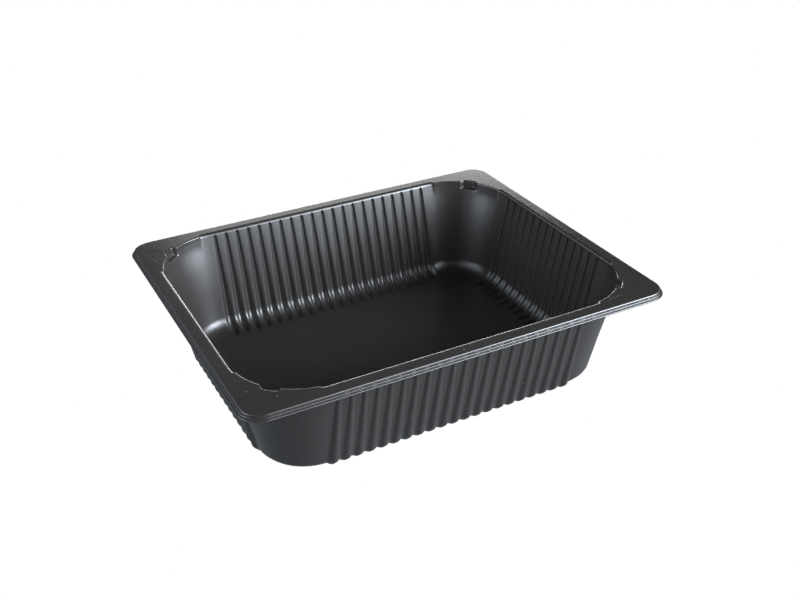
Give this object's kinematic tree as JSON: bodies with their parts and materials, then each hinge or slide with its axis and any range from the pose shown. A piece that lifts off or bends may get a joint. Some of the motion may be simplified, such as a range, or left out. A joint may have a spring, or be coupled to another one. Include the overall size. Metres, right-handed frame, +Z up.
{
  "type": "food tray",
  "caption": "Deep rectangular food tray of thin black plastic, with fluted walls, smooth round corners, a flat flange with a stepped skirt, and a stacking pocket in each corner.",
  "frame": {"origin": "middle of the tray at the level it stands on", "axes": "+X along the long side, +Z up out of the open side"},
  "size_m": [0.325, 0.265, 0.0811],
  "materials": {
    "black_plastic": "satin, finely grained"
  },
  "bodies": {
    "root": {"tray": "black_plastic"}
  },
  "joints": []
}
